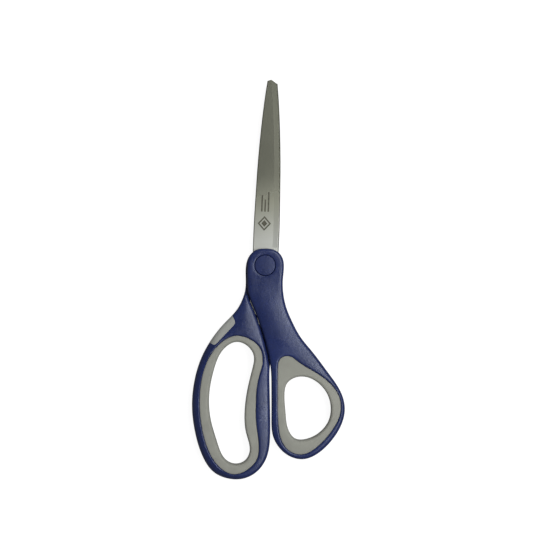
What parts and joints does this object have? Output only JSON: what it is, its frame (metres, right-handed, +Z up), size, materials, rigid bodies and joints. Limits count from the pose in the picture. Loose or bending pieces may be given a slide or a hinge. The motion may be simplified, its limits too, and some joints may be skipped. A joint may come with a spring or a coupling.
{
  "type": "office scissors",
  "caption": "Office scissors with straight steel blades, an offset pair of navy plastic handle loops lined with soft grey grips, and a capped, spring-loaded pivot.",
  "frame": {"origin": "on the pivot axis, in the plane of the table on which the scissors lie", "axes": "+Y from the pivot towards the blade tips, +X towards the thumb loop, +Z up, out of the front face"},
  "size_m": [0.0804, 0.2104, 0.0123],
  "materials": {
    "handle_plastic": "navy injection-moulded plastic with a fine matt grain",
    "soft_grip": "matt grey thermoplastic rubber",
    "index_rest": "matt light grey thermoplastic rubber",
    "blade_steel": "satin-ground stainless steel",
    "pivot_steel": "turned, nickel plated",
    "spring_steel": "phosphated spring steel",
    "nylon_washer": "natural nylon"
  },
  "bodies": {
    "finger_half": {"finger_handle": "handle_plastic", "rear_blade": "blade_steel", "finger_grip": "soft_grip", "index_rest": "index_rest", "rear_pivot_cap": "handle_plastic", "pivot_post": "pivot_steel", "pivot_screw": "pivot_steel", "thrust_washer": "nylon_washer", "spring_washer": "spring_steel"},
    "thumb_half": {"thumb_handle": "handle_plastic", "front_blade": "blade_steel", "thumb_grip": "soft_grip", "front_pivot_cap": "handle_plastic"}
  },
  "joints": [
    {"name": "blade_pivot", "type": "hinge", "parent": "finger_half", "child": "thumb_half", "pos_m": [0, 0, 0.006], "axis": [0, 0, 1], "range_deg": [0, 110]}
  ]
}
